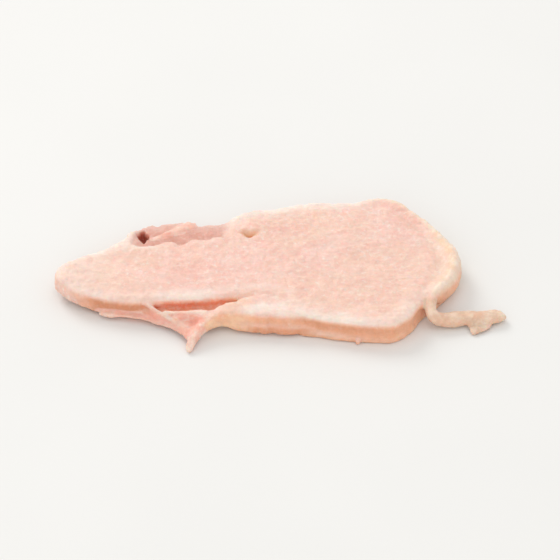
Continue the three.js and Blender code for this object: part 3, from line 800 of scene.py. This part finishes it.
def meat_material(colours):
    """Pale pink muscle with deeper fibres and whitish frost, and over it, by the masks, the cut
    wall, red cleft, cream rim, tan strand, strip, thin skins, shreds, pit and hole. Sizes are
    metres."""
    s = Shader("raw_thigh_meat")

    # Muscle and torn ledge
    mottling = s.noise(0.0055, 4.0, 0.6)
    warmth = s.noise(0.011, 2.0, 0.5)
    veins = s.noise(0.0028, 5.0, 0.65, stretch=(0.35, 1.0, 1.0), distortion=0.6)
    frost = s.noise(0.0008, 3.0, 0.7)
    speckle = s.noise(0.0011, 3.0, 0.65)
    muscle = s.mix(s.ramp(mottling, 0.35, 0.68), colours.meat, colours.deep_meat)
    muscle = s.mix(s.ramp(warmth, 0.4, 0.62, 0.0, 0.55), muscle, colours.warm_meat)
    muscle = s.mix(s.ramp(veins, 0.5, 0.74, 0.0, 0.4), muscle, colours.vein)
    muscle = s.mix(s.times(s.attribute("fibre"), 0.3), muscle, colours.deep_meat)
    muscle = s.mix(s.ramp(speckle, 0.48, 0.72, 0.0, 0.4), muscle, colours.vein)
    # The torn ledge's deeper pink is partly painted shadow
    muscle = s.mix(s.times(s.attribute("ledge"), 0.9), muscle, colours.ledge)

    # Cut wall, whose orange is partly painted warm shade, and pores
    upright = s.noise(0.0016, 3.0, 0.6, stretch=(1.0, 1.0, 0.5))
    wall = s.mix(s.ramp(upright, 0.2, 0.8), colours.wall, colours.wall_light)
    # The tan is partly painted shade, low under the strip's arch
    wall = s.mix(s.attribute("tan"), wall, colours.wall_tan_and_shade)
    stripes = s.noise(0.0007, 4.0, 0.65, stretch=(1.0, 1.0, 0.35), distortion=0.4)
    wall = s.mix(s.ramp(stripes, 0.5, 0.75, 0.0, 0.2), wall, colours.shred_light)
    muscle = s.mix(s.times(s.attribute("wall"), 0.9), muscle, wall)
    muscle = s.mix(s.ramp(s.attribute("pores"), 0.15, 0.8, 0.0, 0.75), muscle, colours.vein)

    # Cleft, and the parts that are bands
    patches = s.ramp(s.noise(0.002, 4.0, 0.6), 0.35, 0.7)
    fringe = s.noise(0.0011, 4.0, 0.65, stretch=(1.0, 1.0, 0.6), distortion=0.5)
    raw = s.mix(s.ramp(fringe, 0.38, 0.66), colours.cleft, colours.cleft_light)
    # By the cleft mask: pale orange-pink near the cleft's top, deep red lower down; the darkening is
    # painted shade
    raw = s.mix(s.ramp(s.attribute("cleft"), 0.3, 0.85), colours.cleft_light, raw)
    tinted = s.mix(s.ramp(s.attribute("cleft"), 0.0, 0.5), muscle, raw)
    tinted = s.mix(s.attribute("fat"), tinted, s.mix(patches, colours.fat, colours.fat_light))
    tinted = s.mix(s.attribute("strand"), tinted, s.mix(patches, colours.strand, colours.strand_light))
    bands = s.noise(0.0024, 4.0, 0.6, stretch=(0.6, 1.0, 1.0))
    strip = s.mix(s.ramp(bands, 0.42, 0.7), colours.strip, colours.wall_light)
    tinted = s.mix(s.times(s.attribute("strip"), 0.85), tinted, strip)
    creases = s.noise(0.0014, 5.0, 0.65, stretch=(0.5, 1.0, 1.0), distortion=0.8)
    creases = s.ramp(creases, 0.45, 0.72, 0.0, 0.75)
    tinted = s.mix(s.attribute("web"), tinted, s.mix(creases, colours.membrane, colours.shred_light))
    tinted = s.mix(s.attribute("shred"), tinted, s.mix(patches, colours.shred, colours.shred_light))
    tinted = s.mix(s.attribute("pit"), tinted, colours.stain)
    # Painted shade in the hole
    tinted = s.mix(s.attribute("hole"), tinted, colours.hole)

    # Frost and the pale margin, partly a painted highlight, kept off the parts that are bare or wet
    amount = s.ramp(s.noise(0.004, 3.0), 0.3, 0.7, 0.2, 0.7)
    cover = s.times(s.ramp(frost, 0.48, 0.72), amount)
    cover = s.highest(cover, s.times(s.attribute("margin"), 0.9))
    bare = s.highest(s.attribute("cleft"), s.attribute("pit"))
    bare = s.highest(bare, s.attribute("hole"))
    for name, share in (("wall", 0.8), ("ledge", 0.6), ("web", 0.8), ("pores", 0.8), ("strand", 0.5)):
        bare = s.highest(bare, s.times(s.attribute(name), share))
    cover = s.times(cover, s.math("SUBTRACT", 1.0, bare))
    colour = s.mix(cover, tinted, colours.frost)

    # Light and dark over all, and the fine grain of the surface
    streaks = s.noise(0.0011, 4.0, 0.65, stretch=(0.4, 1.0, 1.0), distortion=0.5)
    shade = s.ramp(streaks, 0.3, 0.7, 0.92, 1.0)
    shade = s.times(shade, s.ramp(mottling, 0.3, 0.7, 1.0, 0.965))
    shade = s.times(shade, s.ramp(s.noise(0.0007, 3.0, 0.7), 0.3, 0.7, 0.94, 1.0))
    colour = s.scaled(colour, shade)
    grain = s.math("ADD", s.noise(0.00045, 4.0, 0.7), s.times(s.noise(0.0012, 3.0, 0.6), 0.8))
    return s.finish({
        "Base Color": colour,
        "Roughness": s.ramp(cover, 0.0, 1.0, 0.5, 0.8),
        "Subsurface Weight": 0.35,
        "Subsurface Radius": (1.0, 0.42, 0.26),
        "Subsurface Scale": 0.0018,
        "Specular IOR Level": 0.3,
        "Normal": s.bump(grain, 0.00017, 0.7),
    })


def floor_material(stage):
    """A plain pale board with a very slight unevenness."""
    s = Shader("pale_board")
    shade = s.ramp(s.noise(0.05, 2.0), 0.3, 0.7, 0.985, 1.0)
    colour = s.scaled(stage.board_colour, shade)
    return s.finish({"Base Color": colour, "Roughness": 0.6, "Specular IOR Level": 0.2})


def dressed(piece, material):
    """Gives the piece its finish, and ties it to the frame."""
    piece.data.materials.clear()
    piece.data.materials.append(material)
    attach(piece, BODY)
    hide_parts(NODE)
    return piece


class THIGH_PG_sizes(bpy.types.PropertyGroup):
    """Sizes of the slice's skin."""

    voxel: FloatProperty(
        name="Skin fineness", description="Side of the fused skin's squares",
        default=0.00023, min=0.0001, unit="LENGTH")
    fibre_width: FloatProperty(
        name="Fibre width", description="Distance between muscle fibre ridges",
        default=0.0011, min=0.0002, unit="LENGTH")
    fibre_depth: FloatProperty(
        name="Fibre depth", description="Depth of the furrows between fibres",
        default=0.00008, min=0, unit="LENGTH")
    frost_height: FloatProperty(
        name="Frost height", description="Height of the frost grains in the skin",
        default=0.00009, min=0, unit="LENGTH")


def colour_property(name, description, value):
    """A colour, in linear light, that the panel shows as a swatch."""
    return FloatVectorProperty(
        name=name, description=description, default=value, size=3, subtype="COLOR", min=0, max=1)


class THIGH_PG_colours(bpy.types.PropertyGroup):
    """Colours of the slice's finishes."""

    meat: colour_property("Meat", "Pale muscle of the cut face", (0.955, 0.67, 0.58))
    deep_meat: colour_property("Deep meat", "Deeper pink between the pale patches", (0.945, 0.575, 0.485))
    warm_meat: colour_property("Warm meat", "Creamier areas of the cut face", (0.965, 0.705, 0.56))
    vein: colour_property("Vein", "Reddest streaks", (0.915, 0.48, 0.41))
    # Deeper pink of the torn ledge, partly painted shadow
    ledge: colour_property("Ledge", "Thin torn ledge", (0.76, 0.375, 0.295))
    # The cut wall's orange, also in its paler patches, is partly its own colour and partly painted warm
    # shade
    wall: colour_property("Cut wall", "Side of the cut", (0.925, 0.445, 0.25))
    wall_light: colour_property("Cut wall, light", "Paler patches of the side", (0.965, 0.515, 0.325))
    # Browner tan of the side, and painted shade low under the strip's arch
    wall_tan_and_shade: colour_property("Cut wall, tan", "Browner stretches of the side", (0.765, 0.325, 0.17))
    fat: colour_property("Rim", "Cream rim of the right end", (0.93, 0.66, 0.475))
    fat_light: colour_property("Rim, light", "Whitest parts of the rim", (0.96, 0.775, 0.615))
    strand: colour_property("Strand", "Tan strand that trails from the rim", (0.80, 0.525, 0.375))
    strand_light: colour_property("Strand, light", "Paler parts of the strand", (0.92, 0.71, 0.55))
    strip: colour_property("Strip", "Cream end of the free strip", (0.99, 0.66, 0.45))
    shred: colour_property("Shreds", "Pink-white threads and shreds", (0.99, 0.50, 0.39))
    shred_light: colour_property("Shreds, light", "Whitest parts of the shreds", (0.99, 0.72, 0.61))
    # Raw flesh red, darker lower in the cleft as painted shade; the paler colour below is used near its
    # top
    cleft: colour_property("Cleft", "Raw red inside of the cleft", (0.98, 0.38, 0.23))
    cleft_light: colour_property("Cleft, light", "Orange-pink turn into the cleft", (0.97, 0.54, 0.41))
    # Painted shade that fills the hole
    hole: colour_property("Hole", "Dark inside of the hole", (0.60, 0.20, 0.14))
    stain: colour_property("Stain", "Orange-tan bottom of the pit", (0.87, 0.46, 0.22))
    # Also the pale margin's colour, whose whiteness is partly a painted highlight
    frost: colour_property("Frost", "Frosted patches", (0.995, 0.875, 0.795))
    membrane: colour_property("Membrane", "Thin wet skin", (0.97, 0.43, 0.33))


class THIGH_PG_stage(bpy.types.PropertyGroup):
    """Camera, light and board."""

    elevation: FloatProperty(
        name="Camera height", description="Angle of the camera above the board",
        default=math.radians(39), subtype="ANGLE")
    distance: FloatProperty(
        name="Camera distance", description="From the camera to the slice", default=0.75, unit="LENGTH")
    view_width: FloatProperty(
        name="View width", description="Width of the view at the slice", default=0.088, unit="LENGTH")
    key_power: FloatProperty(
        name="Key light", description="Power of the soft key light", default=3.3, min=0)
    fill_power: FloatProperty(
        name="Fill light", description="Power of the low front light", default=0.5, min=0)
    sky: FloatProperty(
        name="Surroundings", description="Brightness of the white room", default=0.878, min=0)
    board_colour: colour_property("Board", "Plain pale board", (0.832, 0.828, 0.815))


class THIGH_OT_meat(bpy.types.Operator):
    """Make the slice's meat with its rim, strip and shreds"""

    bl_idname = "thigh_slice.meat"
    bl_label = "Meat"

    def execute(self, context):
        sizes = context.scene.thigh_sizes
        shapes = [
            cut(slab(), plug()),
            band(RIM, 460, 72, seed=101, end=0.04, knobbly=0.1),
            band(STRIP, 280, 72, seed=131, end=0.05, knobbly=0.06, square=0.6),
            band(THREAD, 220, 32, seed=161, end=0.1, knobbly=0.45, ruffle=0.08),
            band(BRANCH, 120, 24, seed=171, end=0.1, knobbly=0.45, ruffle=0.05),
            band(CLEFT_LIP, 120, 24, seed=181, end=0.1, knobbly=0.35),
            band(SHRED, 120, 40, seed=191, end=0.2, knobbly=0.25),
            band(BED, 160, 40, seed=221, end=0.1, knobbly=0.15),
            sheet(BRANCH, THREAD[3:], 140, 40, seed=311),
            sheet(CLEFT_LIP, BRANCH[3:], 100, 30, seed=321),
            band(CRUMB, 30, 24, seed=251, end=0.4, knobbly=0.2),
            band(FLAP, 70, 48, seed=281, end=0.2, knobbly=0.2),
        ]
        mesh = fused(shapes, sizes.voxel / MM)
        points, normals = points_of(mesh)
        where = masks(points, normals)
        points = points + normals * relief(points, normals, where, sizes)[:, None]
        points[:, 2] = np.maximum(points[:, 2], 0.0)
        where["fibre"] = 0.5 + 0.5 * np.sin(fibre_phase(points) * 2 * math.pi / FIBRE_BAND)
        for name, values in where.items():
            layer = mesh.attributes.new(name, "FLOAT", "POINT")
            layer.data.foreach_set("value", values.astype(np.float32))
        mesh.vertices.foreach_set("co", ((points + SHIFT) * MM).astype(np.float32).ravel())
        mesh.update()
        mesh.name = "meat"
        dressed(to_object("meat", mesh), meat_material(context.scene.thigh_colours))
        return {"FINISHED"}


class THIGH_OT_stage(bpy.types.Operator):
    """Make the board, the lights and the camera"""

    bl_idname = "thigh_slice.stage"
    bl_label = "Stage"

    def execute(self, context):
        scene, stage = context.scene, context.scene.thigh_stage
        half = 3.0
        corners = np.array([(-half, -half, 0), (half, -half, 0), (half, half, 0), (-half, half, 0)])
        corners[:, 2] = NODE_LOW.z
        face, no_tris = np.array([[0, 1, 2, 3]]), np.empty((0, 3), int)
        board = to_object("board", to_mesh("board", corners, face, no_tris))
        board.data.materials.append(floor_material(stage))

        scene.view_settings.view_transform = "Standard"
        world = bpy.data.worlds.new("white_room")
        world.use_nodes = True
        world.node_tree.nodes["Background"].inputs["Color"].default_value = (1.0, 0.995, 0.98, 1.0)
        world.node_tree.nodes["Background"].inputs["Strength"].default_value = stage.sky
        scene.world = world

        target = Vector(((NODE_LOW.x + NODE_HIGH.x) / 2, (NODE_LOW.y + NODE_HIGH.y) / 2, 0.001))
        lights = (
            ("key", stage.key_power, (-0.45, 0.65, 0.55)),
            ("fill", stage.fill_power, (-0.1, -0.6, 0.28)),
        )
        for name, power, place in lights:
            light = bpy.data.lights.new(name, "AREA")
            light.shape = "DISK"
            light.size = 0.45
            light.energy = power
            light.color = (1.0, 0.985, 0.96)
            lamp = bpy.data.objects.new(name, light)
            lamp.location = target + Vector(place)
            lamp.rotation_euler = (target - lamp.location).to_track_quat("-Z", "Y").to_euler()
            scene.collection.objects.link(lamp)

        camera = bpy.data.cameras.new("camera")
        camera.sensor_width = 36.0
        camera.lens = camera.sensor_width * stage.distance / stage.view_width
        camera.clip_start, camera.clip_end = 0.01, 20.0
        eye = bpy.data.objects.new("camera", camera)
        back = Vector((0, -math.cos(stage.elevation), math.sin(stage.elevation)))
        eye.location = target + back * stage.distance
        eye.rotation_euler = (-back).to_track_quat("-Z", "Y").to_euler()
        scene.collection.objects.link(eye)
        scene.camera = eye
        return {"FINISHED"}


OPERATORS = (THIGH_OT_meat, THIGH_OT_stage)


class THIGH_PT_panel(bpy.types.Panel):
    """Buttons for the slice's pieces, with their sizes and colours"""

    bl_idname = "THIGH_PT_panel"
    bl_label = "Sliced chicken thigh"
    bl_space_type = "VIEW_3D"
    bl_region_type = "UI"
    bl_category = "Thigh Slice"

    def draw(self, context):
        for operator in OPERATORS:
            self.layout.operator(operator.bl_idname)
        for group in (context.scene.thigh_sizes, context.scene.thigh_colours, context.scene.thigh_stage):
            box = self.layout.box()
            for name in group.bl_rna.properties.keys():
                if name not in ("rna_type", "name"):
                    box.prop(group, name)


CLASSES = (THIGH_PG_sizes, THIGH_PG_colours, THIGH_PG_stage, *OPERATORS, THIGH_PT_panel)


def register():
    for cls in CLASSES:
        bpy.utils.register_class(cls)
    bpy.types.Scene.thigh_sizes = PointerProperty(type=THIGH_PG_sizes)
    bpy.types.Scene.thigh_colours = PointerProperty(type=THIGH_PG_colours)
    bpy.types.Scene.thigh_stage = PointerProperty(type=THIGH_PG_stage)


def unregister():
    del bpy.types.Scene.thigh_stage
    del bpy.types.Scene.thigh_colours
    del bpy.types.Scene.thigh_sizes
    for cls in reversed(CLASSES):
        bpy.utils.unregister_class(cls)


def main():
    register()
    bpy.ops.thigh_slice.meat()
    bpy.ops.thigh_slice.stage()


if __name__ == "__main__":
    main()
